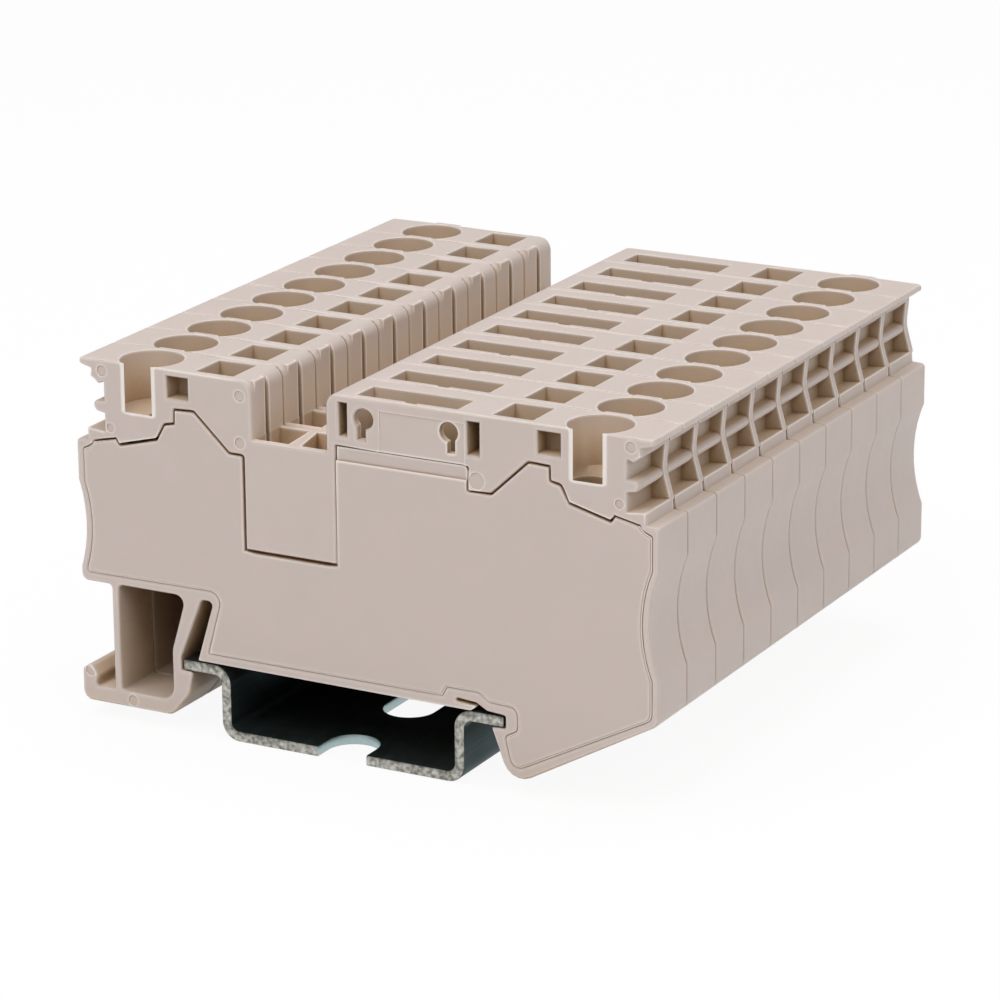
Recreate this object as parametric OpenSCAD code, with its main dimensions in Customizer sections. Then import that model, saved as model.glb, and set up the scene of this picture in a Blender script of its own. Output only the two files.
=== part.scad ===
// Ten-way spring-clamp disconnect terminal block, clipped side by side on a stub of 35 mm rail.
// X runs across the rail, Y along it and Z up. The origin is on the rail's centre line, at its
// underside, halfway along the row. Each block has its open side, with its inset cover, at -Y.

/* [Row] */
// Number of blocks side by side
block_count = 10; // [2:1:10]
// Distance from one block to the next along the rail
block_pitch = 6.1; // [5.9:0.05:6.6]
// Clear gap between neighbouring blocks
block_gap = 0.12; // [0.05:0.01:0.2]

/* [Rail] */
// Width over the rail's two lips
rail_w = 35; // [34:0.1:36]
// Height of the rail
rail_h = 7.5; // [7:0.1:8.5]
// Thickness of the rail's sheet
rail_t = 1.1; // [0.8:0.05:1.3]
// Width over the rail's two upright webs
rail_base_w = 26.6; // [25:0.1:27.5]
// Inside radius of the rail's bends
rail_bend_r = 0.8; // [0.4:0.1:1]
// Width of the fixing slots
rail_slot_w = 5.2; // [4.6:0.1:6.4]
// Length of a whole fixing slot
rail_slot_l = 18; // [15:0.5:20]
// Distance from one fixing slot to the next
rail_slot_pitch = 24; // [23:0.5:28]
// How far the fixing slot that the cut end opens reaches into the rail
rail_first_slot = 4.7; // [3.6:0.1:6]
// Clearance between the rail's top and the blocks that sit on it
seat_play = 0.05; // [0.02:0.01:0.1]

/* [Body] */
// Height of the flat top above the rail's underside
top_z = 36.4; // [34:0.1:40]
// Half the width of a block, from its clamp centre plane to its outer wall
body_half_w = 31.2; // [30.2:0.1:34]
// Offset of the clamp centre plane from the rail's centre line
mid_x = 2.3; // [1.5:0.05:3]
// Thickness of the closed wall at a block's far side
back_wall = 0.83; // [0.7:0.01:1]
// Width of the rim around the inset cover
rim_w = 0.8; // [0.7:0.05:1.1]
// Depth of the hollow finger grip in the right wall
grip_depth = 1; // [0.6:0.05:1.2]
// Depth of the hollow finger grip in the left wall
left_grip_depth = 0.7; // [0.4:0.05:1]
// Upper end of the finger grips below the top
grip_drop = 12.4; // [11:0.1:13.5]
// Width of the channel across the top, between the two islands
gap_w = 8.1; // [7:0.05:9]
// Depth of the channel's sills below the top
gap_depth = 5.8; // [5:0.1:6.2]
// Height of the foot's underside above the rail's underside
foot_z = 1.5; // [1:0.1:2]
// How far the snap foot's outer leg stands off the rail's lip
leg_reach = 8; // [7.4:0.1:8.4]
// How far the release tab stands off the rail's lip
tab_reach = 11.7; // [11.2:0.1:12.5]
// Height of the floor under the metal parts above the rail's top
hollow_rise = 8.2; // [7.6:0.1:8.8]

/* [Marker grooves] */
// How far the grooves' floor is set back from the outer wall
groove_back = 3.25; // [3:0.05:3.6]
// Height of the finger bar below the top
finger_drop = 4.6; // [4.3:0.05:4.9]
// Height of the lower ledge below the top
ledge_drop = 7.15; // [6.8:0.05:7.5]
// Thickness of the fins that part the grooves of neighbouring blocks
fin_t = 1; // [0.85:0.05:1.2]

/* [Openings] */
// Radius of a wire funnel
funnel_r = 3.05; // [2.9:0.05:3.1]
// Radius of the wire hole below the funnel
wire_r = 1.6; // [1.4:0.05:1.7]
// Depth of the funnel
funnel_depth = 4.85; // [4.5:0.05:5.1]
// Wall between a funnel and the marker groove beside it
funnel_wall = 0.9; // [0.7:0.05:1]
// Width of a screwdriver shaft across the rail
driver_w = 4.05; // [3.5:0.05:4.2]
// Width of the post between a funnel and its screwdriver shaft
post_w = 5; // [4.6:0.1:5.4]
// Wall at the near side of the screwdriver shafts and the disconnect slot
near_wall = 0.86; // [0.7:0.02:1.1]
// Width of the disconnect slot along the rail
disconnect_w = 3.15; // [2.8:0.05:3.4]

/* [Cover] */
// Thickness of the inset cover
cover_t = 0.9; // [0.7:0.05:1]
// Seam around the inset cover
cover_play = 0.05; // [0.04:0.01:0.16]
// Width of the step in the cover's outer edge, which makes the seam a shallow groove
seam_step = 0.08; // [0.05:0.01:0.12]
// Depth of the step in the cover's outer edge
seam_depth = 0.12; // [0.08:0.01:0.2]
// What the seam along the cover's upper edge is wider
seam_gap = 0.06; // [0.04:0.01:0.12]
// What the open joints under the wire funnels and the channel are wider than the seam
throat_gap = 0.2; // [0.15:0.01:0.4]
// Height of the cover's edge under a funnel, below the top
throat_drop = 6.95; // [6.8:0.05:7.3]

/* [Contacts] */
// Thickness of a current bar
bar_t = 1; // [0.8:0.05:1.2]
// Thickness of a clamp spring
spring_t = 0.4; // [0.3:0.05:0.5]
// Clearance at each side of the metal parts
metal_play = 0.1; // [0.05:0.01:0.15]
// Place of a contact from its end of the disconnect slot, as a share of the slot's length
contact_inset = 0.23; // [0.2:0.01:0.27]

/* [Hidden] */
$fn = 48;

// Overshoot of every cut beyond the face that it opens
cut = 1;

row_l = block_count * block_pitch;
block_t = block_pitch - block_gap;
inner_y = block_t - back_wall;
inner_w = inner_y - cover_t;
rail_x = rail_w / 2;
seat_z = rail_h + seat_play;

// Heights of the marker grooves, the cover's edge, the funnels' floor and the channel's sills
finger_z = top_z - finger_drop;
ledge_z = top_z - ledge_drop;
ledge_rise = 0.2;
shoulder_z = ledge_z - 1;
throat_z = top_z - throat_drop;
funnel_z = top_z - funnel_depth;
sill_z = top_z - gap_depth;

// Distances from the clamp centre plane, from the outer wall inwards
lip_d = body_half_w - 0.57;
step_d = body_half_w - 1.35;
knob_d = body_half_w - 1.87;
finger_d = body_half_w - 2;
fin_d = body_half_w - 2.1;
groove_d = body_half_w - groove_back;
funnel_d = groove_d - funnel_wall - funnel_r;
wire_lead = 0.2;
wire_d = funnel_d - funnel_r + wire_r + wire_lead + 0.05;
post_d = funnel_d - funnel_r - post_w / 2 + 1.38;
driver_d = funnel_d - funnel_r - post_w + driver_w / 2 - 2.05;
driver_in_d = driver_d - driver_w / 2;

// Places along X of the channel, the disconnect slot and what lines up with them
gap_x0 = mid_x - driver_in_d + 2.43;
gap_x1 = gap_x0 + gap_w;
slot_x0 = gap_x1 + 2.95;
slot_x1 = mid_x + driver_in_d - 3.75;
slot_l = slot_x1 - slot_x0;
seam_x0 = gap_x0 - 1;
seam_x1 = gap_x1 + 1;
seam_x2 = slot_x1 + 1.5;

// Hollows behind the cover
seat_w = 0.6;
hollow_floor = rail_h + hollow_rise;
hollow_top = throat_z - 1.8;
tongue_z = hollow_floor + 3.96;
tunnel_top = tongue_z - seat_w - 0.35;
hollow_in_d = driver_in_d - 0.6;
hollow_out_d = groove_d + 0.8;
plate_seam_z = top_z - 5.04;

// Outline values of the two walls, the hook and the foot
wall_x = mid_x + body_half_w;
left_wall_x = mid_x - body_half_w;
overhang_z = hollow_floor - 1.85;
grip_z1 = top_z - grip_drop;
grip_z0 = overhang_z - 0.45;
left_grip_z0 = overhang_z + 1.4;
corner_z = rail_h + 1.75;
nose_x = rail_x + 0.7;
nose_z = foot_z - 0.8;
leg_x = -rail_x - leg_reach;
leg_t = 0.8;
tab_x = -rail_x - tab_reach;
tab_top_z = foot_z + 3.8;
bar_top_z = foot_z + 1.65;

// Funnel axis along Y, measured from a block's near face, which the funnel cuts open
funnel_y = funnel_r - 0.4;
mouth_w = 2 * sqrt(funnel_r * funnel_r - funnel_y * funnel_y);

// Places of the metal parts
bar_w = inner_w - 2 * metal_play;
bar_z = hollow_floor + bar_t / 2;
upright_d = funnel_d + 3;
upright_top_z = hollow_top - 1.1;
tongue_w = 2.7;
contact_top_z = plate_seam_z - 2;
fork_gap = 0.9;
fork_depth = 5.5;
spring_foot_z = hollow_floor + bar_t + spring_t / 2;
spring_top_z = hollow_top - 3.5;
spring_r = (spring_top_z - spring_foot_z) / 2;
spring_d = hollow_in_d + metal_play * 4 + spring_r + spring_t / 2;
spring_tip_d = hollow_out_d - 0.2;
spring_window_w = 3.1;
spring_window_in_d = wire_d - wire_r;
spring_window_out_d = upright_d + bar_t / 2 + 0.25;

body_colour = [0.77, 0.73, 0.70];
cover_colour = [0.75, 0.71, 0.68];
rail_colour = [0.50, 0.52, 0.52];
bar_colour = [0.78, 0.74, 0.68];
spring_colour = [0.62, 0.63, 0.65];

// Near face of block number i, counted from 0
function block_y(i) = i * block_pitch - row_l / 2;

// X of a place at distance d from the clamp centre plane, on the right (1) or the left (-1)
function side_x(side, d) = mid_x + side * d;

function unit(v) = v / norm(v);
function flat(p) = [p[0], p[1]];
function reversed(list) = [for (i = [len(list) - 1:-1:0]) list[i]];

// Arc that rounds the corner b of an outline, between its neighbours a and c, by the radius b[2]
function corner(a, b, c) =
    let (p = flat(b), u = unit(flat(a) - p), v = unit(flat(c) - p), half = acos(u * v) / 2)
    b[2] <= 0 || half > 89 ? [p] :
    let (room = 0.48 * min(norm(flat(a) - p), norm(flat(c) - p)))
    let (reach = min(b[2] / tan(half), room), r = reach * tan(half))
    let (centre = p + unit(u + v) * r / sin(half), start = p + u * reach - centre)
    let (turn = 180 - 2 * half, way = cross(u, v) > 0 ? -1 : 1)
    let (first = atan2(start[1], start[0]), steps = max(2, ceil(turn / (r < 0.45 ? 45 : 22.5))))
    [for (k = [0:steps])
        let (a = first + way * turn * k / steps)
        centre + r * [cos(a), sin(a)]];

// Closed outline from corners [x, z, radius]
function rounded(pts) =
    let (n = len(pts))
    [for (i = [0:n - 1]) each corner(pts[(i + n - 1) % n], pts[i], pts[(i + 1) % n])];

// The same corners moved outwards by d, for an outline that runs anticlockwise
function grown(pts, d) =
    let (n = len(pts))
    [for (i = [0:n - 1])
        let (p = flat(pts[i]))
        let (e = unit(p - flat(pts[(i + n - 1) % n])), f = unit(flat(pts[(i + 1) % n]) - p))
        let (m = unit([e[1] + f[1], -e[0] - f[0]]), s = d / (m * [e[1], -e[0]]))
        [p[0] + m[0] * s, p[1] + m[1] * s, pts[i][2]]];

// Hollow grip in a wall as an arc from its low end to its high end, set in from the wall by inset
function grip_arc(side, inset) =
    let (low = side > 0 ? grip_z0 : left_grip_z0, depth = side > 0 ? grip_depth : left_grip_depth)
    let (half = (grip_z1 - low) / 2, r = (half * half + depth * depth) / (2 * depth))
    let (spread = asin(half / r), steps = 10)
    [for (k = [0:steps])
        let (a = -spread + 2 * spread * k / steps)
        [side_x(side, body_half_w - inset - r * cos(a) + r * cos(spread)), low + half + r * sin(a), 0]];

// Lip, fin edge and stepped ledge of one side, from the top downwards
function side_profile(side) = [
    [side_x(side, lip_d), top_z, 0.35],
    [side_x(side, lip_d), top_z - 0.65, 0.2],
    [side_x(side, knob_d), top_z - 1, 0.1],
    [side_x(side, knob_d), top_z - 1.75, 0.3],
    [side_x(side, fin_d), finger_z + 0.3, 3],
    [side_x(side, step_d), ledge_z + ledge_rise, 0.25],
    [side_x(side, step_d + 0.1), shoulder_z, 0.1],
    [side_x(side, body_half_w), shoulder_z - 0.05, 0.35]
];

// Underside from the left end of the rail seat to the right hook, with the spring tongue's slit
function hook_profile() = [
    [rail_x - 3.5, seat_z, 0.25],
    [rail_x - 2.95, rail_h + 0.43, 0.15],
    [rail_x - 3.1, rail_h + 0.57, 0.1],
    [rail_x - 5, rail_h + 0.72, 0.1],
    [rail_x - 5, rail_h + 1, 0.1],
    [rail_x - 2.95, rail_h + 0.85, 0.3],
    [rail_x - 1.8, rail_h + 0.2, 0.3],
    [rail_x + 0.12, seat_z, 0.2],
    [rail_x + 0.12, rail_h - rail_t - seat_play, 0.1],
    [rail_x - 1.34, rail_h - rail_t - seat_play - 0.1, 0.15],
    [nose_x, nose_z, 2]
];

// Left end: overhang, leg, release tab, hook under the rail's lip and the slit that frees the leg
function foot_profile() = [
    [left_wall_x, overhang_z, 0.75],
    [leg_x, overhang_z, 0.5],
    [leg_x, bar_top_z, 0.2],
    [tab_x + 1.45, bar_top_z - 0.1, 0.3],
    [tab_x + 1.75, bar_top_z + 0.9, 0.5],
    [tab_x + 0.9, tab_top_z, 0.5],
    [tab_x, tab_top_z - 0.6, 0.5],
    [tab_x, foot_z, 0.95],
    [-rail_x - 1.4, foot_z, 1.2],
    [-rail_x + 0.6, foot_z + 2.5, 1.5],
    [-rail_x + 1.05, rail_h - rail_t - seat_play, 0.3],
    [-rail_x - 0.25, rail_h - rail_t - seat_play, 0.05],
    [-rail_x - 0.25, rail_h + 0.17, 0],
    [-rail_x + 2.2, overhang_z - 0.05, 0.45],
    [-rail_x + 3.5, overhang_z - 0.05, 0.45],
    [-rail_x + 1.6, seat_z, 0.15]
];

// Opening between the foot's two legs
function foot_window() = [
    [leg_x + leg_t, overhang_z + 0.05, 0.4],
    [leg_x + leg_t, bar_top_z - 0.05, 0.3],
    [-rail_x - 1.3, bar_top_z - 0.1, 1.3],
    [-rail_x - 1.3, rail_h + 0.7, 2],
    [-rail_x + 0.4, overhang_z + 0.05, 0.9]
];

// Whole outline of a block, anticlockwise from the right hook's nose
function body_outline() = concat(
    [[wall_x, corner_z, 1]],
    grip_arc(1, 0),
    reversed(side_profile(1)),
    [[gap_x1, top_z, 1.25], [gap_x1, sill_z, 0.15], [gap_x0, sill_z, 0.15], [gap_x0, top_z, 1.25]],
    side_profile(-1),
    reversed(grip_arc(-1, 0)),
    foot_profile(),
    hook_profile()
);

// Top edge of the cover on one side, from the outer wall inwards. The part open of the joints' width
// is taken off it: none for the recess, all of it for the cover
function cover_side(side, open) =
    let (edge_z = throat_z - open * seam_gap, joint_z = throat_z - open * throat_gap)
    [
        [side_x(side, body_half_w - rim_w), edge_z - 2.2, 0.2],
        [side_x(side, body_half_w - 1.45), edge_z - 1.9, 0.3],
        [side_x(side, body_half_w - 1.8), edge_z - 1.6, 0.15],
        [side_x(side, body_half_w - 2), edge_z - 1.3, 0.15],
        [side_x(side, funnel_d + 2.75), edge_z - 0.67, 0.15],
        [side_x(side, funnel_d + 2.3), joint_z - 1.15, 0.1],
        [side_x(side, funnel_d - 1.9), joint_z - 0.05, 0.1],
        [side_x(side, funnel_d - 2.8), edge_z + 1.45, 0.4],
        [side_x(side, post_d + 0.27), edge_z + 1.65, 0.2],
        [side_x(side, post_d + 0.22), edge_z + 3.05, 0.1],
        [side_x(side, post_d - 1.93), edge_z + 3.15, 0.4],
        [side_x(side, post_d - 5.78), edge_z - 0.45, 0.4]
    ];

// Outline of the inset cover (open = 1) or of the recess that it fills (0), from the right hook on
function cover_outline(open) =
    let (gap = open * seam_gap, joint_z = tongue_z - open * throat_gap)
    concat(
        [[nose_x + 0.25, nose_z + 1.6, 0.9], [wall_x - rim_w, corner_z + 0.45, 0.9]],
        grip_arc(1, rim_w),
        cover_side(1, open),
        [
            [seam_x2 - gap, throat_z - 0.45 - gap, 0.1],
            [seam_x2 - gap, plate_seam_z, 0.5],
            [seam_x1, plate_seam_z, 0.1],
            [seam_x1, tongue_z - gap, 0],
            [gap_x1, joint_z, 0],
            [gap_x0, joint_z, 0],
            [seam_x0 - gap, tongue_z - gap, 0],
            [seam_x0 - gap, throat_z - 0.45 - gap, 0.3]
        ],
        reversed(cover_side(-1, open)),
        reversed(grip_arc(-1, rim_w)),
        [
            [left_wall_x + rim_w, overhang_z + 0.97, 0.3],
            [-rail_x + 4.75, overhang_z + 1.1, 1.2],
            [-rail_x + 2.95, rail_h + 1.05, 0.1],
            [rail_x - 6.6, rail_h + 1.05, 0.2],
            [rail_x - 6.1, rail_h + 2, 0.3],
            [rail_x - 2.6, rail_h + 2, 0.8],
            [rail_x - 1.5, rail_h + 1.2, 0.8],
            [rail_x + 1.5, rail_h + 1.1, 0.9],
            [rail_x + 1.5, rail_h - 1.3, 0.6],
            [rail_x + 0.2, rail_h - 2, 0.3]
        ]
    );

// Strip of thickness t along an open path of corners [x, z], bent by the inside radius r
function strip(path, t, r) =
    let (n = len(path))
    let (ways = [for (i = [0:n - 2]) unit(path[i + 1] - path[i])])
    let (edge = [for (i = [0:n - 1])
        let (e = ways[max(i - 1, 0)], f = ways[min(i, n - 2)], m = unit([-e[1] - f[1], e[0] + f[0]]))
        m * (t / 2) / (m * [-e[1], e[0]])])
    let (bend = [for (i = [0:n - 1]) i == 0 || i == n - 1 ? 0 : cross(ways[i - 1], ways[i])])
    concat(
        [for (i = [0:n - 1]) concat(path[i] + edge[i], bend[i] == 0 ? 0 : bend[i] > 0 ? r : r + t)],
        [for (i = [n - 1:-1:0]) concat(path[i] - edge[i], bend[i] == 0 ? 0 : bend[i] > 0 ? r + t : r)]
    );

// Extrudes a drawing in X and Z along Y, from y0 to y1
module across(y0, y1) {
    rotate([90, 0, 0])
        translate([0, 0, -y1])
            linear_extrude(y1 - y0)
                children();
}

// Rectangle between two corners
module area(x0, z0, x1, z1) {
    translate([x0, z0])
        square([x1 - x0, z1 - z0]);
}

// Quarter or half ring of the sheet's thickness around a bend, kept inside the given box
module bend(x, z, r_in, t, x0, z0, x1, z1) {
    intersection() {
        translate([x, z])
            difference() {
                circle(r_in + t);
                circle(r_in);
            }
        area(x0, z0, x1, z1);
    }
}

// Right half of the rail's section
module rail_half() {
    outer = rail_base_w / 2;
    r_out = rail_bend_r + rail_t;
    low_x = outer - r_out;
    high_x = outer + rail_bend_r;
    high_z = rail_h - r_out;
    area(0, 0, low_x, rail_t);
    bend(low_x, r_out, rail_bend_r, rail_t, low_x, 0, outer, r_out);
    area(outer - rail_t, r_out, outer, high_z);
    bend(high_x, high_z, rail_bend_r, rail_t, outer - rail_t, high_z, high_x, rail_h);
    area(high_x, rail_h - rail_t, rail_x, rail_h);
}

// Fixing slot through the rail's base, from y0 to y1
module rail_slot(y0, y1) {
    r = rail_slot_w / 2;
    for (y = [y0 + r, y1 - r])
        translate([0, y, -cut])
            cylinder(r = r, h = rail_t + 2 * cut);
    translate([-r, y0 + r, -cut])
        cube([rail_slot_w, y1 - y0 - rail_slot_w, rail_t + 2 * cut]);
}

module din_rail() {
    color(rail_colour)
        difference() {
            across(-row_l / 2, row_l / 2)
                union() {
                    rail_half();
                    mirror([1, 0])
                        rail_half();
                }
            for (k = [0:floor((row_l + rail_slot_l - rail_first_slot) / rail_slot_pitch)]) {
                slot_end = rail_first_slot + k * rail_slot_pitch - row_l / 2;
                rail_slot(slot_end - rail_slot_l, slot_end);
            }
        }
}

// Two grooves of one side, with the finger bar between them
module marker_grooves(side) {
    out = step_d + 0.5;
    out_z = ledge_z + ledge_rise * (out - groove_d) / (step_d - groove_d);
    across(-cut, block_t - fin_t)
        polygon(rounded([
            [side_x(side, out), top_z - 1.75, 0],
            [side_x(side, knob_d), top_z - 1.75, 0],
            [side_x(side, knob_d - 0.75), top_z - 2.45, 0.3],
            [side_x(side, groove_d), top_z - 2.2, 0.1],
            [side_x(side, groove_d), finger_z + 0.52, 0.1],
            [side_x(side, finger_d - 0.3), finger_z + 0.5, 0.4],
            [side_x(side, finger_d), finger_z, 0.4],
            [side_x(side, finger_d - 0.3), finger_z - 0.55, 0.4],
            [side_x(side, groove_d), finger_z - 0.7, 0.1],
            [side_x(side, groove_d), ledge_z, 0.1],
            [side_x(side, out), out_z, 0]
        ]));
}

// Funnel that cuts the near face open, and the wire hole in its floor, on the centre plane's side
module wire_entry(side) {
    translate([side_x(side, funnel_d), funnel_y, funnel_z])
        cylinder(r = funnel_r, h = funnel_depth + cut);
    translate([side_x(side, wire_d), funnel_y, hollow_top - cut])
        cylinder(r = wire_r, h = funnel_z - hollow_top + 2 * cut);
    translate([side_x(side, wire_d), funnel_y, funnel_z - wire_lead])
        cylinder(r1 = wire_r, r2 = wire_r + wire_lead, h = wire_lead);
}

// Plug on the far wall that closes the mouth of the next block's funnel
module funnel_plug(side) {
    plug_play = 0.1;
    plug_reach = 0.4;
    plug_root = 0.2;
    plug_w = mouth_w - 2 * plug_play;
    translate([side_x(side, funnel_d) - plug_w / 2, block_t - plug_root, funnel_z + plug_play])
        cube([plug_w, plug_root + block_gap + plug_reach, funnel_depth - plug_play]);
}

// Square shaft for the screwdriver
module driver_shaft(side) {
    translate([side_x(side, driver_d) - driver_w / 2, near_wall, hollow_top - cut])
        cube([driver_w, inner_y - near_wall, top_z - hollow_top + 2 * cut]);
}

// Blind socket in the near face of the post between funnel and shaft, beside the funnel's round wall
module post_socket(side) {
    socket_w = 2.3;
    socket_depth = 1.9;
    socket_shift = 0.17;
    tube_wall = 0.45;
    x = side_x(side, post_d) + socket_shift;
    difference() {
        across(-cut, socket_depth)
            area(x - socket_w / 2, top_z - 2.85, x + socket_w / 2, top_z - 0.7);
        translate([side_x(side, funnel_d), funnel_y, funnel_z])
            cylinder(r = funnel_r + tube_wall, h = funnel_depth);
    }
}

// Keyhole through the wall in front of the disconnect slot; turn puts its stem left or right
module keyhole(x, turn) {
    head_r = 1;
    stem_w = 0.88;
    stem_shift = 0.25;
    head_z = top_z - 2.1;
    stem_x = x + turn * stem_shift;
    across(-cut, near_wall + cut)
        union() {
            translate([x, head_z])
                circle(head_r);
            area(stem_x - stem_w / 2, top_z - 4.15, stem_x + stem_w / 2, head_z);
        }
}

// Disconnect slot, the notch in its edge and the recesses and windows in the face in front of it
module disconnect_cuts() {
    window_z0 = top_z - 4;
    window_z1 = top_z - 0.8;
    window_depth = 4.5;
    notch_w = 1.1;
    notch_depth = 0.3;
    notch_z = top_z - 0.7;
    plate_depth = 0.07;
    translate([slot_x0, near_wall, plate_seam_z - seat_w - cut])
        cube([slot_l, disconnect_w, top_z - plate_seam_z + seat_w + 2 * cut]);
    translate([slot_x0 + slot_l / 2, near_wall - notch_depth, notch_z])
        cube([notch_w, notch_depth + cut, top_z - notch_z + cut]);
    keyhole(slot_x0 + 1.05, -1);
    keyhole(slot_x1 - 0.5, 1);
    across(-cut, plate_depth)
        area(slot_x0 + 2.8, plate_seam_z - 0.01, slot_x1 + 1.15, top_z - 1.05);
    across(-cut, window_depth)
        union() {
            area(gap_x1 + 1.37, window_z0, gap_x1 + 2.2, window_z1);
            area(slot_x1 + 1.4, window_z0, slot_x1 + 2.65, window_z1);
        }
}

// Flat pad that fills the rounded top of the channel's left wall beside its upright groove
module gap_pad() {
    pad_y0 = 0.8;
    pad_y1 = 2.6;
    pad_back = 1.4;
    pad_drop = 0.15;
    translate([gap_x0 - pad_back, pad_y0, sill_z])
        cube([pad_back, pad_y1 - pad_y0, gap_depth - pad_drop]);
}

// Two pockets in the channel's floor, with a tapered rib between them, and the groove in its left wall
module gap_cuts() {
    pocket_depth = 2.2;
    pocket_y = 0.65;
    pocket_rim = 0.05;
    rib_near = [3.67, 5.02];
    rib_far = [3.27, 4.12];
    groove_y = 2.6;
    groove_w = 0.75;
    groove_depth = 0.5;
    translate([gap_x0, 0, sill_z - pocket_depth])
        linear_extrude(pocket_depth + cut)
            union() {
                polygon([
                    [pocket_rim, pocket_y],
                    [rib_near[0], pocket_y],
                    [rib_far[0], inner_y],
                    [pocket_rim, inner_y]
                ]);
                polygon([
                    [rib_near[1], pocket_y],
                    [gap_w - pocket_rim, pocket_y],
                    [gap_w - pocket_rim, inner_y],
                    [rib_far[1], inner_y]
                ]);
            }
    translate([gap_x0 - groove_depth, groove_y, sill_z - pocket_depth])
        cube([groove_depth + cut, groove_w, gap_depth + pocket_depth + cut]);
}

// Hollows for the metal parts, the recess for the cover and the open joints under the funnels
module inner_cuts() {
    across(-cut, cover_t)
        polygon(rounded(grown(cover_outline(0), cover_play)));
    across(cover_t - 0.01, inner_y)
        union() {
            for (side = [-1, 1]) {
                in_x = side_x(side, hollow_in_d);
                out_x = side_x(side, hollow_out_d);
                area(min(in_x, out_x), hollow_floor, max(in_x, out_x), hollow_top);
                polygon([
                    [side_x(side, funnel_d + 2.15), hollow_top - 0.1],
                    [side_x(side, funnel_d + 2.15), throat_z - 1.13],
                    [side_x(side, funnel_d - 1.75), throat_z - 0.1],
                    [side_x(side, funnel_d - 1.75), hollow_top - 0.1]
                ]);
            }
            area(slot_x0 - 0.35, hollow_floor, slot_x1 + 0.35, plate_seam_z - seat_w);
            area(side_x(-1, hollow_in_d) - cut, hollow_floor, slot_x0, tunnel_top);
            area(slot_x1, hollow_floor, side_x(1, hollow_in_d) + cut, tunnel_top);
        }
}

// Shallow round marks [x, z, radius] that the mould's ejector pins leave in the near face
module pin_marks() {
    mark_depth = 0.05;
    marks = [
        [side_x(-1, groove_d + 0.1), top_z - 1.1, 0.55],
        [side_x(-1, groove_d - 0.7), ledge_z + 0.5, 0.45],
        [side_x(1, groove_d + 0.4), top_z - 0.95, 0.55],
        [side_x(1, groove_d - 0.75), ledge_z + 0.7, 0.45],
        [gap_x0 - 1.25, top_z - 1.6, 0.55],
        [gap_x0 - 1.3, sill_z - 0.4, 0.55],
        [seam_x2 + 0.92, plate_seam_z - 1.3, 0.8],
        [tab_x + 0.95, foot_z + 3.1, 0.55],
        [leg_x + 2.1, foot_z + 0.75, 0.55]
    ];
    for (m = marks)
        translate([m[0], mark_depth, m[1]])
            rotate([90, 0, 0])
                cylinder(r = m[2], h = cut);
}

// Small break in each ledge's step, at the far side of a block
module ledge_notch(side) {
    notch_w = 0.45;
    notch_depth = 0.45;
    translate([side_x(side, step_d + 0.1) - notch_depth, block_t - notch_w, shoulder_z])
        cube([2 * notch_depth, notch_w + cut, ledge_z - shoulder_z]);
}

module housing(i) {
    color(body_colour)
        translate([0, block_y(i), 0])
            difference() {
                union() {
                    across(0, block_t)
                        polygon(rounded(body_outline()));
                    gap_pad();
                    for (side = [-1, 1])
                        funnel_plug(side);
                }
                across(-cut, block_t + cut)
                    polygon(rounded(foot_window()));
                for (side = [-1, 1]) {
                    marker_grooves(side);
                    wire_entry(side);
                    driver_shaft(side);
                    post_socket(side);
                    ledge_notch(side);
                }
                disconnect_cuts();
                gap_cuts();
                inner_cuts();
                pin_marks();
            }
}

module side_cover(i) {
    step_depth = 0.2;
    step_z = plate_seam_z - 1.36;
    color(cover_colour)
        translate([0, block_y(i), 0])
            difference() {
                union() {
                    across(seam_depth, cover_t)
                        polygon(rounded(cover_outline(1)));
                    across(0, cover_t)
                        polygon(rounded(grown(cover_outline(1), -seam_step)));
                }
                across(-cut, step_depth)
                    area(seam_x1 - cut, step_z, seam_x2 + cut, plate_seam_z + cut);
            }
}

// Bent current bar: forked contact, floor run and the upright that the spring's window slips over
module current_bar(i, side, contact_x) {
    bend_r = 0.6;
    low_z = bar_z + 2.5;
    upright_x = side_x(side, upright_d);
    middle_y = cover_t + inner_w / 2;
    shoulder = (bar_w - tongue_w) / 2;
    color(bar_colour)
        translate([0, block_y(i), 0])
            difference() {
                across(cover_t + metal_play, inner_y - metal_play)
                    polygon(rounded(strip([
                        [contact_x, contact_top_z],
                        [contact_x, bar_z],
                        [upright_x, bar_z],
                        [upright_x, upright_top_z]
                    ], bar_t, bend_r)));
                translate([contact_x - bar_t, middle_y - fork_gap / 2, contact_top_z - fork_depth])
                    cube([2 * bar_t, fork_gap, fork_depth + cut]);
                for (y = [middle_y - bar_w / 2 - cut, middle_y + tongue_w / 2])
                    translate([upright_x - bar_t, y, low_z])
                        cube([2 * bar_t, shoulder + cut, upright_top_z - low_z + cut]);
            }
}

module left_bar(i) {
    current_bar(i, -1, slot_x0 + contact_inset * slot_l);
}

module right_bar(i) {
    current_bar(i, 1, slot_x1 - contact_inset * slot_l);
}

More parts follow.
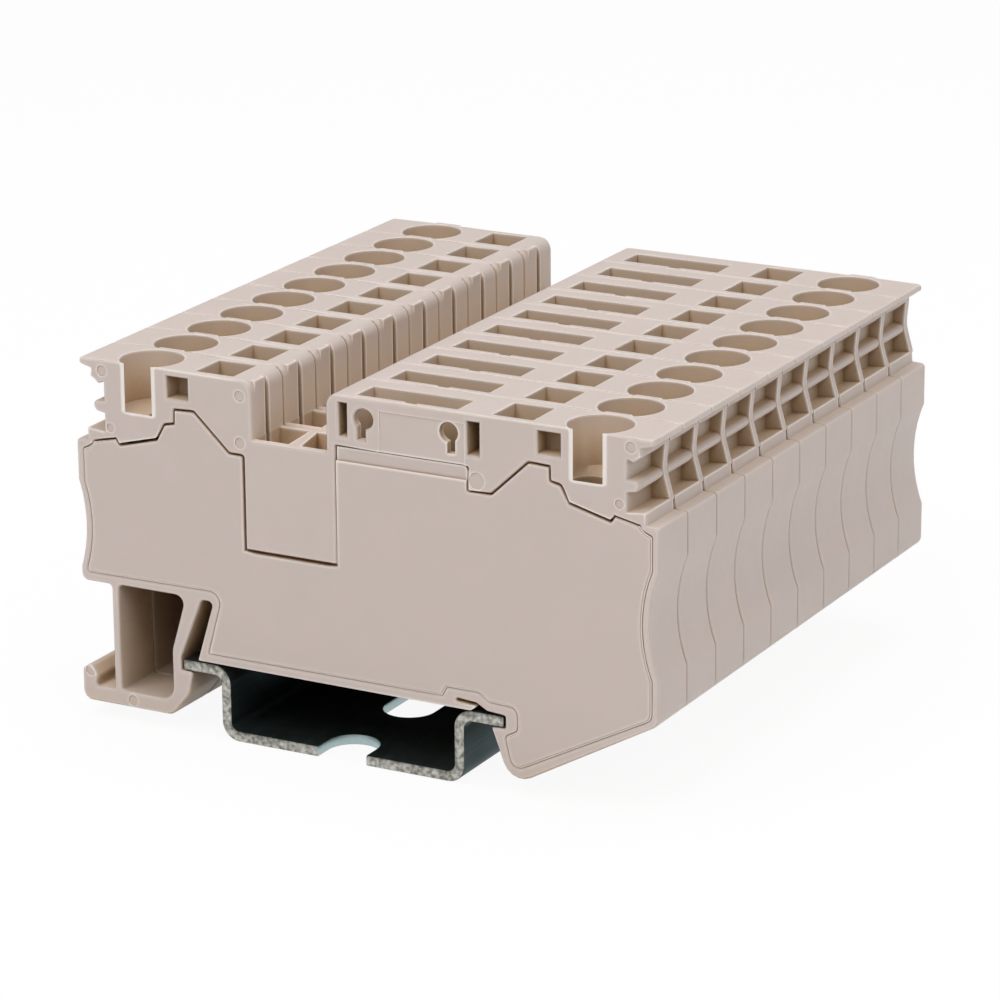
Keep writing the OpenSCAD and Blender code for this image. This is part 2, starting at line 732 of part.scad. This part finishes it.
// Cage spring: foot on the current bar, round back and a top leg whose window takes bar and wire
module clamp_spring(side) {
    foot_end_d = upright_d - bar_t - 0.6;
    middle_y = cover_t + inner_w / 2;
    half_t = spring_t / 2;
    middle_z = (spring_foot_z + spring_top_z) / 2;
    difference() {
        across(cover_t + 1.5 * metal_play, inner_y - 1.5 * metal_play)
            translate([mid_x, 0])
                mirror([side < 0 ? 1 : 0, 0])
                    union() {
                        bend(spring_d, middle_z, spring_r - half_t, spring_t,
                            spring_d - 2 * spring_r, 0, spring_d, top_z);
                        area(spring_d, spring_foot_z - half_t, foot_end_d, spring_foot_z + half_t);
                        area(spring_d, spring_top_z - half_t, spring_tip_d, spring_top_z + half_t);
                    }
        window_in_x = side_x(side, spring_window_in_d);
        window_out_x = side_x(side, spring_window_out_d);
        translate([min(window_in_x, window_out_x), middle_y - spring_window_w / 2, spring_top_z - cut])
            cube([abs(window_out_x - window_in_x), spring_window_w, 2 * cut]);
    }
}

module clamp_springs(i) {
    color(spring_colour)
        translate([0, block_y(i), 0])
            for (side = [-1, 1])
                clamp_spring(side);
}

din_rail();
for (i = [0:block_count - 1]) {
    housing(i);
    side_cover(i);
    left_bar(i);
    right_bar(i);
    clamp_springs(i);
}
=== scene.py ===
"""Looks of the ten-way disconnect terminal block on its rail stub.

Lengths are in metres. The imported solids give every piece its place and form. Housings, covers and
rail are shown through copies of their own meshes with softened edges, as a mould, a press or a saw
leaves them. The bars and springs lie inside and keep the meshes of the solids.
"""

import math

import bmesh
import bpy
from mathutils import Matrix, Vector
from mathutils.bvhtree import BVHTree


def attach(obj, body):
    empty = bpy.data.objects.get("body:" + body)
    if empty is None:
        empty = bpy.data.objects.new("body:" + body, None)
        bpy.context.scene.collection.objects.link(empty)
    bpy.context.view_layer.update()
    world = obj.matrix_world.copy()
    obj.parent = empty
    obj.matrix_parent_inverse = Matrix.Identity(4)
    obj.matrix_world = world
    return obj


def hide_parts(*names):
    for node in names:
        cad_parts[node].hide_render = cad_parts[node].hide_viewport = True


MM = 0.001

# Camera at the photograph's viewing angle, for a square image
CAMERA_PLACE = Vector((202.381, -373.505, 152.597)) * MM
CAMERA_AZIMUTH = math.radians(28.3514)
CAMERA_ELEVATION = math.radians(17.6489)
CAMERA_ROLL = -0.00755
CAMERA_LENS = 161.132
CAMERA_SENSOR = 36.0
CAMERA_CLIP_START = 0.01
CAMERA_CLIP_END = 20.0

# Studio
WORLD_COLOUR = (1.0, 0.985, 0.965, 1.0)
WORLD_STRENGTH = 0.35
LAMP_TARGET = (0.0, 0.0, 0.018)
LAMPS = (  # name, place, size, power, colour
    ("key_softbox", (-0.06, -0.42, 0.58), (0.50, 0.40), 1.95, (1.0, 0.985, 0.975)),
    ("top_softbox", (0.00, 0.10, 0.60), (0.60, 0.60), 2.0, (0.99, 0.99, 1.0)),
    ("right_fill", (0.46, -0.14, 0.46), (0.45, 0.45), 0.60, (1.0, 0.97, 0.92)),
)
FLOOR_HALF = 3.0
FLOOR_Z = -0.02 * MM
FLOOR_COLOUR = (0.90, 0.90, 0.90)
FLOOR_WHITE_SHARE = 0.93

# Reading the meshes: distances, and cosines between a face's normal and a direction
WELD = 0.004 * MM
ON_PLANE = 0.003 * MM
BROAD_FACE = 100.0 * MM ** 2
FACES_THE_WAY = 0.999
UPRIGHT = 0.02
NEARLY_UPRIGHT = 0.3
NEARLY_PARALLEL = 0.98
FACES_LEFT = -0.9
NO_LENGTH = 1e-6
SMOOTH_ANGLE = math.radians(40)

# Chamfers on the outer flat faces of the mouldings
NEAR, FAR, TOP = (0.0, -1.0, 0.0), (0.0, 1.0, 0.0), (0.0, 0.0, 1.0)
SIDE_EDGE = 0.20 * MM
TOP_EDGE = 0.14 * MM
COVER_EDGE = 0.10 * MM
HOUSING_PLANES = ((NEAR, SIDE_EDGE), (FAR, SIDE_EDGE), (TOP, TOP_EDGE))
COVER_PLANES = ((NEAR, COVER_EDGE),)
JOIN_ANGLE = math.radians(0.5)
WALL_SHARE = 0.95
MITRE_LIMIT = 0.5
EASE_ROUNDS = 8
EASE = 0.6
LEAST_SHARE = 0.2
LEAST_AREA = 1e-10
CHAMFER_LOW, CHAMFER_HIGH = 0.3, 0.95

# Rounded edges of the rail
STEEL_EDGE = 0.20 * MM
SHARP_ANGLE = math.radians(50)
EDGE_ROOM = 2.2
EDGE_SINK = 0.45
EDGE_STEPS = 2
ROOM_GAP = 0.05
ROOM_TURN = 0.8

# Marks of the ejector pins, wire guides, and fit of the cover
PIN_MARK = 0.05 * MM
PIN_SINK = 0.05 * MM
FUNNEL_FLOOR = 31.55 * MM
WIRE_HOLES = (-20.50 * MM, 25.10 * MM)
WIRE_SETBACK = 2.65 * MM
WIRE_RIM = 1.85 * MM
WIRE_LEAD = 0.25 * MM
WIRE_SLOPE = 0.6 * MM
GROOVE_DEPTH = 0.12 * MM
COVER_PLAY = 0.048 * MM
PARTING_GAP = 0.07 * MM
COVER_MARGIN = 1.5 * MM
COVER_TOP = 18.0 * MM
TALL_WALL = 3.0 * MM

# Plastic: linear colours, sizes of its spots and depths of its relief, and how far a surface looks
# for others around it. The pairs are the open shares at which a painted shade or painted highlight
# starts and is full.
BEIGE_PINK = (0.610, 0.522, 0.487)
BEIGE_GREY = (0.590, 0.516, 0.478)
# painted highlight: pale colour laid along the outer edges, as if their rounding caught the light
BEIGE_PAINTED_HIGHLIGHT = (0.900, 0.850, 0.800)
# warm beige: a faint random grain tone, and painted warm shade in hollows
BEIGE_WARM_GRAIN_AND_SHADE = (0.665, 0.500, 0.332)
# painted shade: dark brown for hollows roofed over from above
BEIGE_PAINTED_SHADE = (0.260, 0.162, 0.084)
# painted shade: brown in narrow creases and seams between parts
BEIGE_PAINTED_CREVICE_SHADE = (0.420, 0.250, 0.140)
COVER_SHADE = 0.985
CLOUD_SIZE = 5.0 * MM
GRAIN_SIZE = 0.35 * MM
GLOSS_SIZE = 0.9 * MM
TEXTURE_SIZE, TEXTURE_DEPTH = 0.12 * MM, 0.004 * MM
SINK_SIZE, SINK_DEPTH = 6.0 * MM, 0.03 * MM
OPEN_SAMPLES = 4
HOLLOW_REACH = 10.0 * MM
HOLLOW_PAINTED_WARM_SHADE = (0.75, 0.20)
HOLLOW_PAINTED_DEEP_SHADE = (0.85, 0.50)
ROOF_REACH = 14.0 * MM
ROOF_PAINTED_DEEP_SHADE = (0.22, 0.09)
CREVICE_REACH = 0.5 * MM
CREVICE_PAINTED_SHADE = (0.62, 0.22)
CREVICE_SHADE_SHARE = 0.8
EDGE_OPEN = (0.95, 0.55)
# reach and share of the painted highlight along the outer edges
HIGHLIGHT_REACH = 0.28 * MM
HIGHLIGHT_SHARE = 0.9
PLASTIC_ROUGH = (0.40, 0.52)
PLASTIC_SPECULAR = 0.42
SCATTER_SHARE = 0.12
SCATTER_RADIUS = (1.0, 0.72, 0.5)
SCATTER_SCALE = 0.6 * MM

# Metals, in the same way
STEEL_SHEET = (0.036, 0.056, 0.058)
STEEL_TINT = (0.048, 0.070, 0.072)
STEEL_LINE = (0.110, 0.130, 0.126)
STEEL_CUT = (0.600, 0.590, 0.540)
STEEL_CUT_DARK = (0.185, 0.180, 0.158)
# painted shade: dark along the edges of the cut ends
STEEL_PAINTED_EDGE_SHADE = (0.055, 0.055, 0.048)
STEEL_PUNCHED = (0.440, 0.550, 0.560)
STEEL_ROUGH = (0.34, 0.48)
STEEL_METALLIC = 0.85
DRAWN_SIZE, DRAWN_DEPTH = 0.25 * MM, 0.003 * MM
DRAWN_STRETCH = (1.0, 0.02, 1.0)
STAIN_SIZE = 3.5 * MM
SHEAR_SIZE, SHEAR_DEPTH = 0.45 * MM, 0.03 * MM
# reach and share of the painted shade along the edges of the cut ends
EDGE_SHADE_REACH = 0.25 * MM
EDGE_SHADE_SHARE = 0.6
SLOT_HALF = 2.6 * MM
SLOT_BLEND = (SLOT_HALF + 0.15 * MM, SLOT_HALF + 0.05 * MM)
TIN = (0.70, 0.66, 0.59)
TIN_ROUGH = (0.25, 0.40)
SPRING_STEEL = (0.52, 0.53, 0.55)
SPRING_ROUGH = (0.20, 0.34)
ROLLED_SIZE, ROLLED_DEPTH = 0.12 * MM, 0.002 * MM
ROLLED_STRETCH = (0.05, 1.0, 1.0)
DULL_SIZE = 1.6 * MM
DULL_SHADE = 0.72


class Graph:
    """The nodes of one material, added and linked by short calls."""

    def __init__(self, name):
        self.material = bpy.data.materials.new(name)
        self.material.use_nodes = True
        self.tree = self.material.node_tree
        self.tree.nodes.clear()

    def add(self, kind, settings=None, **inputs):
        """Adds a node; an input is a value or the output socket that feeds it."""
        made = self.tree.nodes.new("ShaderNode" + kind)
        for name, value in (settings or {}).items():
            setattr(made, name, value)
        for name, value in inputs.items():
            self.feed(made, name.replace("_", " "), value)
        return made

    def feed(self, made, name, value):
        """Gives an input, by its name or its number, a value or a link."""
        socket = made.inputs[int(name)] if name.isdigit() else made.inputs[name]
        if isinstance(value, bpy.types.NodeSocket):
            self.tree.links.new(value, socket)
        elif isinstance(value, tuple) and len(value) == 3 and socket.type == "RGBA":
            socket.default_value = (*value, 1.0)
        else:
            socket.default_value = value

    def math(self, operation, first, second=0.0):
        made = self.add("Math", {"operation": operation})
        self.feed(made, "0", first)
        self.feed(made, "1", second)
        return made.outputs[0]

    def mix(self, share, first, second):
        """Mixes two colours."""
        made = self.add("Mix", {"data_type": "RGBA", "blend_type": "MIX", "clamp_factor": True})
        self.feed(made, "0", share)
        self.feed(made, "6", first)
        self.feed(made, "7", second)
        return made.outputs[2]

    def ramp(self, value, low, high, to_low=0.0, to_high=1.0):
        """Maps a value from one range to another, held at the ends."""
        made = self.add("MapRange", {"clamp": True})
        for place, number in enumerate((value, low, high, to_low, to_high)):
            self.feed(made, str(place), number)
        return made.outputs[0]

    def noise(self, place, size, detail=2.0, stretch=None):
        """Noise whose spots measure about size; stretch scales the place along each axis first."""
        if stretch:
            place = self.add("Mapping", Vector=place, Scale=stretch).outputs[0]
        return self.add("TexNoise", Vector=place, Scale=1.0 / size, Detail=detail).outputs[0]

    def bump(self, height, depth, normal=None):
        made = self.add("Bump", Height=height, Distance=depth, Strength=1.0)
        if normal is not None:
            self.feed(made, "Normal", normal)
        return made.outputs[0]

    def openness(self, reach, settings=None, **inputs):
        """Share of the directions in which nothing stands within the reach."""
        settings = {"samples": OPEN_SAMPLES, **(settings or {})}
        return self.add("AmbientOcclusion", settings, Distance=reach, **inputs).outputs["AO"]

    def finish(self, shader):
        output = self.add("OutputMaterial")
        self.tree.links.new(shader.outputs[0], output.inputs["Surface"])
        return self.material


def outer_edges(g, reach):
    """1 at the outer edges of a piece, falling to 0 at about the reach from them."""
    open_share = g.openness(reach, {"inside": True, "only_local": True})
    return g.ramp(open_share, *EDGE_OPEN)


def moulded_plastic(name, shade=1.0):
    """Satin moulded plastic: cloudy tone, eroded mould texture, painted highlight on the edges and
    painted warm shade in recesses.
    """
    g = Graph(name)
    place = g.add("TexCoord").outputs["Object"]
    cloud = g.noise(place, CLOUD_SIZE, 3.0)
    grain = g.noise(place, GRAIN_SIZE, 4.0)
    pink = tuple(c * shade for c in BEIGE_PINK)
    grey = tuple(c * shade for c in BEIGE_GREY)
    tone = g.mix(g.ramp(cloud, 0.35, 0.65), pink, grey)
    tone = g.mix(g.ramp(grain, 0.55, 0.75, 0.0, 0.10), tone, BEIGE_WARM_GRAIN_AND_SHADE)
    hollow = g.openness(HOLLOW_REACH)
    roofed = g.openness(ROOF_REACH, Normal=g.add("CombineXYZ", Z=1.0).outputs[0])
    crevice = g.openness(CREVICE_REACH)
    # painted shade: darkest in hollows that are covered from above
    deep = g.math("MULTIPLY", g.ramp(hollow, *HOLLOW_PAINTED_DEEP_SHADE), g.ramp(roofed, *ROOF_PAINTED_DEEP_SHADE))
    # painted shade: warmer tone in hollows, standing in for light that bounces in them
    tone = g.mix(g.ramp(hollow, *HOLLOW_PAINTED_WARM_SHADE), tone, BEIGE_WARM_GRAIN_AND_SHADE)
    tone = g.mix(deep, tone, BEIGE_PAINTED_SHADE)
    # painted highlight: paler along the outer edges of the piece
    tone = g.mix(g.math("MULTIPLY", outer_edges(g, HIGHLIGHT_REACH), HIGHLIGHT_SHARE), tone, BEIGE_PAINTED_HIGHLIGHT)
    # painted shade: browner and darker in narrow creases and seams
    tone = g.mix(g.ramp(crevice, *CREVICE_PAINTED_SHADE, 0.0, CREVICE_SHADE_SHARE), tone, BEIGE_PAINTED_CREVICE_SHADE)
    rough = g.ramp(g.noise(place, GLOSS_SIZE, 3.0), 0.3, 0.7, *PLASTIC_ROUGH)
    texture = g.bump(g.noise(place, TEXTURE_SIZE, 3.0), TEXTURE_DEPTH)
    sink = g.bump(g.noise(place, SINK_SIZE, 1.0), SINK_DEPTH, texture)
    shader = g.add("BsdfPrincipled", Base_Color=tone, Roughness=rough, Normal=sink)
    shader.inputs["Specular IOR Level"].default_value = PLASTIC_SPECULAR
    shader.inputs["Subsurface Weight"].default_value = SCATTER_SHARE
    shader.inputs["Subsurface Radius"].default_value = SCATTER_RADIUS
    shader.inputs["Subsurface Scale"].default_value = SCATTER_SCALE
    return g.finish(shader)


def rail_steel():
    """Passivated rolled strip: dark sheet with drawing lines, mottled ends with painted shade at
    their edges, and pale slot walls.
    """
    g = Graph("rail_steel")
    place = g.add("TexCoord").outputs["Object"]
    facing = g.add("SeparateXYZ", Vector=g.add("NewGeometry").outputs["Normal"])
    cut_end = g.ramp(g.math("ABSOLUTE", facing.outputs["Y"]), 0.75, 0.95)
    lines = g.noise(place, DRAWN_SIZE, 3.0, DRAWN_STRETCH)
    stains = g.noise(place, STAIN_SIZE, 4.0)
    sheet = g.mix(g.ramp(stains, 0.35, 0.7), STEEL_SHEET, STEEL_TINT)
    sheet = g.mix(g.ramp(lines, 0.55, 0.8, 0.0, 0.5), sheet, STEEL_LINE)
    shear = g.noise(place, SHEAR_SIZE, 4.0)
    cut_tone = g.mix(g.ramp(shear, 0.35, 0.65), STEEL_CUT_DARK, STEEL_CUT)
    # painted shade: the cut ends darken towards their edges
    edge_shade = g.math("MULTIPLY", outer_edges(g, EDGE_SHADE_REACH), EDGE_SHADE_SHARE)
    cut_tone = g.mix(edge_shade, cut_tone, STEEL_PAINTED_EDGE_SHADE)
    tone = g.mix(cut_end, sheet, cut_tone)
    across = g.math("ABSOLUTE", g.add("SeparateXYZ", Vector=place).outputs["X"])
    upright = g.ramp(g.math("ABSOLUTE", facing.outputs["Z"]), 0.5, 0.3)
    slot_wall = g.math("MULTIPLY", g.ramp(across, *SLOT_BLEND), upright)
    tone = g.mix(slot_wall, tone, STEEL_PUNCHED)
    rough = g.ramp(lines, 0.3, 0.7, *STEEL_ROUGH)
    relief = g.bump(lines, DRAWN_DEPTH)
    ridges = g.bump(g.math("MULTIPLY", shear, cut_end), SHEAR_DEPTH, relief)
    shader = g.add("BsdfPrincipled", Base_Color=tone, Roughness=rough, Normal=ridges)
    shader.inputs["Metallic"].default_value = STEEL_METALLIC
    return g.finish(shader)


def strip_metal(name, colour, rough_range):
    """Stamped strip of tinned copper or spring steel, with fine rolling lines."""
    g = Graph(name)
    place = g.add("TexCoord").outputs["Object"]
    lines = g.noise(place, ROLLED_SIZE, 3.0, ROLLED_STRETCH)
    stains = g.noise(place, DULL_SIZE, 3.0)
    dull = tuple(c * DULL_SHADE for c in colour)
    tone = g.mix(g.ramp(stains, 0.4, 0.7, 0.0, 0.6), colour, dull)
    rough = g.ramp(lines, 0.3, 0.7, *rough_range)
    relief = g.bump(lines, ROLLED_DEPTH)
    shader = g.add("BsdfPrincipled", Base_Color=tone, Roughness=rough, Normal=relief)
    shader.inputs["Metallic"].default_value = 1.0
    return g.finish(shader)


def white_floor():
    """Pale floor that takes the shadow, lifted to white where it is seen as the background."""
    g = Graph("white_floor")
    path = g.add("LightPath")
    seen = g.math("MAXIMUM", path.outputs["Is Camera Ray"], path.outputs["Is Glossy Ray"])
    seen = g.math("MAXIMUM", seen, path.outputs["Is Transmission Ray"])
    diffuse = g.add("BsdfDiffuse", Color=FLOOR_COLOUR)
    white = g.add("Emission", Color=(1.0, 1.0, 1.0), Strength=1.0)
    mixed = g.add("MixShader")
    g.feed(mixed, "0", g.math("MULTIPLY", seen, FLOOR_WHITE_SHARE))
    g.feed(mixed, "1", diffuse.outputs[0])
    g.feed(mixed, "2", white.outputs[0])
    return g.finish(mixed)


def welded(node):
    """Copy of a node's mesh with the points of its faces joined."""
    bm = bmesh.new()
    bm.from_mesh(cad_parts[node].data)
    bmesh.ops.remove_doubles(bm, verts=bm.verts, dist=WELD)
    return bm


def corner_normals(bm, chamfer):
    """Normals of all face corners: flat and curved faces keep theirs, and chamfers turn between."""
    same = math.cos(SMOOTH_ANGLE)
    around = {}
    for face in bm.faces:
        if not face[chamfer]:
            for loop in face.loops:
                around.setdefault(loop.vert, []).append((face.normal, loop.calc_angle()))
    normals = []
    for face in bm.faces:
        for loop in face.loops:
            shared = around.get(loop.vert, [])
            if not face[chamfer]:
                shared = [(n, w) for n, w in shared if n.dot(face.normal) > same]
            total = sum((n * w for n, w in shared), Vector())
            known = total.length > NO_LENGTH
            normals.append(total.normalized() if known else face.normal.copy())
    return normals


def finished(bm, node, chamfer):
    """Mesh of a softened copy with its corner normals."""
    normals = corner_normals(bm, chamfer)
    mesh = bpy.data.meshes.new(node + "_soft")
    bm.to_mesh(mesh)
    bm.free()
    mesh.shade_smooth()
    mesh.normals_split_custom_set(normals)
    return mesh


def rim_inward(edge, flat, outward, depth):
    """Direction into a flat face from an edge where a wall drops to the depth, or None."""
    if len(edge.link_faces) != 2:
        return None
    inside = [f for f in edge.link_faces if f in flat]
    wall = [f for f in edge.link_faces if f not in flat]
    if len(inside) != 1:
        return None
    a, b = (v.co for v in edge.verts)
    drop = max((a - v.co).dot(outward) for v in wall[0].verts)
    if abs(wall[0].normal.dot(outward)) > NEARLY_UPRIGHT or drop < WALL_SHARE * depth:
        return None
    inward = outward.cross(b - a).normalized()
    if inward.dot(inside[0].calc_center_median() - a) < 0.0:
        inward.negate()
    return inward


def plane_area(face, moves, outward):
    """Area of a flat triangle once its points have moved, negative if it turned over."""
    a, b, c = (v.co + moves.get(v, Vector()) for v in face.verts)
    return (b - a).cross(c - a).dot(outward) / 2


def outer_level(bm, outward):
    """Outermost level along a direction at which a broad flat face looks that way."""
    faces = [f for f in bm.faces if f.normal.dot(outward) > FACES_THE_WAY]
    faces.sort(key=lambda f: f.calc_center_median().dot(outward), reverse=True)
    level, area = None, 0.0
    for face in faces:
        here = face.calc_center_median().dot(outward)
        if level is None or level - here > ON_PLANE:
            level, area = here, 0.0
        area += face.calc_area()
        if area > BROAD_FACE:
            return level
    return level


def cut_below(bm, outward, level, width):
    """Cuts the walls at the chamfer's width below a level, and leaves triangles alone."""
    walls = [f for f in bm.faces if abs(f.normal.dot(outward)) < UPRIGHT]
    bmesh.ops.join_triangles(
        bm, faces=walls, angle_face_threshold=JOIN_ANGLE, angle_shape_threshold=math.pi
    )
    bmesh.ops.bisect_plane(
        bm, geom=bm.verts[:] + bm.edges[:] + bm.faces[:], dist=ON_PLANE,
        plane_co=outward * (level - width), plane_no=outward,
    )
    bmesh.ops.remove_doubles(bm, verts=bm.verts, dist=WELD)
    bmesh.ops.triangulate(bm, faces=bm.faces[:])


def soften_plane(bm, outward, width, chamfer):
    """Chamfers the edges around the outer flat faces that look in one direction."""
    level = outer_level(bm, outward)
    cut_below(bm, outward, level, width)
    flat = {f for f in bm.faces if all(abs(v.co.dot(outward) - level) < ON_PLANE for v in f.verts)}
    moves = {}
    for vert in {v for f in flat for v in f.verts}:
        rims = [n for n in (rim_inward(e, flat, outward, width) for e in vert.link_edges) if n]
        if len(rims) == 2:
            mitre = max(1.0 + rims[0].dot(rims[1]), MITRE_LIMIT)
            moves[vert] = (rims[0] + rims[1]) * (width / mitre)
    least = {f: min(LEAST_SHARE * plane_area(f, {}, outward), LEAST_AREA) for f in flat}
    for _ in range(EASE_ROUNDS):
        tight = [f for f in flat if plane_area(f, moves, outward) < least[f]]
        for vert in {v for f in tight for v in f.verts if v in moves}:
            moves[vert] *= EASE
    for vert, move in moves.items():
        vert.co += move
    bm.normal_update()
    for face in {f for v in moves for f in v.link_faces}:
        if CHAMFER_LOW < face.normal.dot(outward) < CHAMFER_HIGH:
            face[chamfer] = 1


def sink_pin_marks(bm):
    """Presses the shallow marks of the ejector pins on the near face deep enough to see."""
    near = min(v.co.y for v in bm.verts)
    for vert in bm.verts:
        if abs(vert.co.y - near - PIN_MARK) < ON_PLANE:
            vert.co.y += PIN_SINK


def slope_wire_guides(bm):
    """Draws the rims of the two wire holes down, so that the funnels' floors slope into them."""
    near = min(v.co.y for v in bm.verts)
    for vert in bm.verts:
        drop = FUNNEL_FLOOR - vert.co.z
        for middle in WIRE_HOLES:
            reach = math.hypot(vert.co.x - middle, vert.co.y - near - WIRE_SETBACK)
            if reach < WIRE_RIM and -ON_PLANE < drop < WIRE_LEAD:
                vert.co.z -= WIRE_SLOPE
    bm.normal_update()


def prepare_housing(bm):
    """Gives a housing the small forms that the solids leave out."""
    sink_pin_marks(bm)
    slope_wire_guides(bm)


def corner_push(sides):
    """Move that shifts each wall at a point by its own amount along its normal."""
    (first, push), (second, other) = sides[0], min(sides, key=lambda s: s[0].dot(sides[0][0]))
    along = first.dot(second)
    if along > NEARLY_PARALLEL:
        return (first + second).normalized() * ((push + other) / 2)
    spread = 1.0 - along * along
    return first * ((push - along * other) / spread) + second * ((other - along * push) / spread)


def fit_cover(bm):
    """Fills the play under the cover's outline groove, and opens its parting gap along the top."""
    near = min(v.co.y for v in bm.verts)
    left, right = min(v.co.x for v in bm.verts), max(v.co.x for v in bm.verts)
    sides = {}
    for face in bm.faces:
        shallow = min(v.co.y for v in face.verts) - near
        if abs(face.normal.y) < UPRIGHT and shallow > GROOVE_DEPTH - ON_PLANE:
            middle = face.calc_center_median()
            heights = [v.co.z for v in face.verts]
            tall_left = face.normal.x < FACES_LEFT and max(heights) - min(heights) > TALL_WALL
            top = left + COVER_MARGIN < middle.x < right - COVER_MARGIN and middle.z > COVER_TOP
            push = -PARTING_GAP if top and not tall_left else COVER_PLAY
            for vert in face.verts:
                sides.setdefault(vert, []).append((face.normal, push))
    moves = {vert: corner_push(walls) for vert, walls in sides.items()}
    for vert, move in moves.items():
        vert.co += move
    bm.normal_update()


def softened_moulding(node, planes, prepare):
    """Copy of a moulded piece with the edges of its outer flat faces softened."""
    bm = welded(node)
    prepare(bm)
    chamfer = bm.faces.layers.int.new("chamfer")
    for outward, width in planes:
        soften_plane(bm, Vector(outward), width, chamfer)
    return finished(bm, node, chamfer)


def has_room(edge, solid, room):
    """True if the surface runs on flat for the room on both sides of an edge."""
    a, b = (v.co for v in edge.verts)
    middle = (a + b) / 2
    for face in edge.link_faces:
        inward = face.normal.cross(b - a).normalized()
        if inward.dot(face.calc_center_median() - middle) < 0.0:
            inward.negate()
        _, normal, _, distance = solid.find_nearest(middle + inward * room)
        if distance > ROOM_GAP * room or normal.dot(face.normal) < ROOM_TURN:
            return False
    return True


def softened_steel(node, radius):
    """Copy of a steel piece with its sharp edges rounded, where the faces beside them have room."""
    bm = welded(node)
    solid = BVHTree.FromBMesh(bm)
    sharp = [e for e in bm.edges if e.is_manifold and e.calc_face_angle(0) > SHARP_ANGLE]
    edges = [e for e in sharp if has_room(e, solid, EDGE_ROOM * radius)]
    bmesh.ops.bevel(
        bm, geom=edges, offset=radius, offset_type="OFFSET", segments=EDGE_STEPS, profile=0.5,
        affect="EDGES", clamp_overlap=False,
    )
    for vert in bm.verts:
        place, _, _, distance = solid.find_nearest(vert.co)
        if distance > EDGE_SINK * radius:
            vert.co = place
    bm.normal_update()
    return finished(bm, node, bm.faces.layers.int.new("chamfer"))


def paint(mesh, material):
    """Makes a material the only one of a mesh."""
    mesh.materials.clear()
    mesh.materials.append(material)


def show(node, mesh, material):
    """Shows a softened mesh in place of its node."""
    paint(mesh, material)
    piece = bpy.data.objects.new(node + "_finish", mesh)
    bpy.context.scene.collection.objects.link(piece)
    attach(piece, "root")
    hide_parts(node)


def build_camera():
    """Camera that stands and turns as the photograph's did."""
    data = bpy.data.cameras.new("camera")
    data.lens = CAMERA_LENS
    data.sensor_width = CAMERA_SENSOR
    data.clip_start = CAMERA_CLIP_START
    data.clip_end = CAMERA_CLIP_END
    camera = bpy.data.objects.new("camera", data)
    az, el = CAMERA_AZIMUTH, CAMERA_ELEVATION
    right = Vector((math.cos(az), math.sin(az), 0.0))
    back = Vector((math.sin(az) * math.cos(el), -math.cos(az) * math.cos(el), math.sin(el)))
    up = back.cross(right)
    c, s = math.cos(CAMERA_ROLL), math.sin(CAMERA_ROLL)
    image_right = right * c + up * s
    image_up = up * c - right * s
    turn = Matrix((image_right, image_up, back)).transposed()
    camera.matrix_world = Matrix.Translation(CAMERA_PLACE) @ turn.to_4x4()
    bpy.context.scene.collection.objects.link(camera)
    bpy.context.scene.camera = camera


def build_floor():
    """Wide floor just under the feet and the rail."""
    mesh = bpy.data.meshes.new("floor")
    s = FLOOR_HALF
    corners = [(x, y, FLOOR_Z) for x, y in ((-s, -s), (s, -s), (s, s), (-s, s))]
    mesh.from_pydata(corners, [], [(0, 1, 2, 3)])
    mesh.materials.append(white_floor())
    floor = bpy.data.objects.new("floor", mesh)
    bpy.context.scene.collection.objects.link(floor)


def area_light(name, place, size, power, colour):
    """Soft rectangular lamp that points at the middle of the row."""
    lamp = bpy.data.lights.new(name, "AREA")
    lamp.shape = "RECTANGLE"
    lamp.size, lamp.size_y = size
    lamp.energy = power
    lamp.color = colour
    holder = bpy.data.objects.new(name, lamp)
    holder.location = place
    aim = Vector(LAMP_TARGET) - Vector(place)
    holder.rotation_euler = aim.to_track_quat("-Z", "Y").to_euler()
    bpy.context.scene.collection.objects.link(holder)


def build_light():
    """Even world light and the lamps."""
    world = bpy.data.worlds.new("studio")
    world.use_nodes = True
    sky = world.node_tree.nodes["Background"]
    sky.inputs["Color"].default_value = WORLD_COLOUR
    sky.inputs["Strength"].default_value = WORLD_STRENGTH
    bpy.context.scene.world = world
    for lamp in LAMPS:
        area_light(*lamp)


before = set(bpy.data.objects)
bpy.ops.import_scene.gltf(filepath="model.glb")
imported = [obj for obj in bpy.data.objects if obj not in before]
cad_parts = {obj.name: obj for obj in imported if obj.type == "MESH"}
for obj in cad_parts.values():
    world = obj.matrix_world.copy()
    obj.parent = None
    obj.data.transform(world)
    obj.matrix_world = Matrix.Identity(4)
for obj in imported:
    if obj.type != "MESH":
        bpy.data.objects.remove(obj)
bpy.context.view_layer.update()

bpy.context.scene.view_settings.view_transform = "Standard"
build_camera()
build_floor()
build_light()

beige = moulded_plastic("housing_plastic")
cover_beige = moulded_plastic("cover_plastic", COVER_SHADE)
steel = rail_steel()
tinned = strip_metal("tinned_bar", TIN, TIN_ROUGH)
spring = strip_metal("spring_strip", SPRING_STEEL, SPRING_ROUGH)
inner_finishes = {"left_bar": tinned, "right_bar": tinned, "clamp_springs": spring}

for node in sorted(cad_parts):
    group = node.rstrip("0123456789").rstrip("_")
    if group == "housing":
        show(node, softened_moulding(node, HOUSING_PLANES, prepare_housing), beige)
    elif group == "side_cover":
        show(node, softened_moulding(node, COVER_PLANES, fit_cover), cover_beige)
    elif group == "din_rail":
        show(node, softened_steel(node, STEEL_EDGE), steel)
    else:
        paint(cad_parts[node].data, inner_finishes[group])
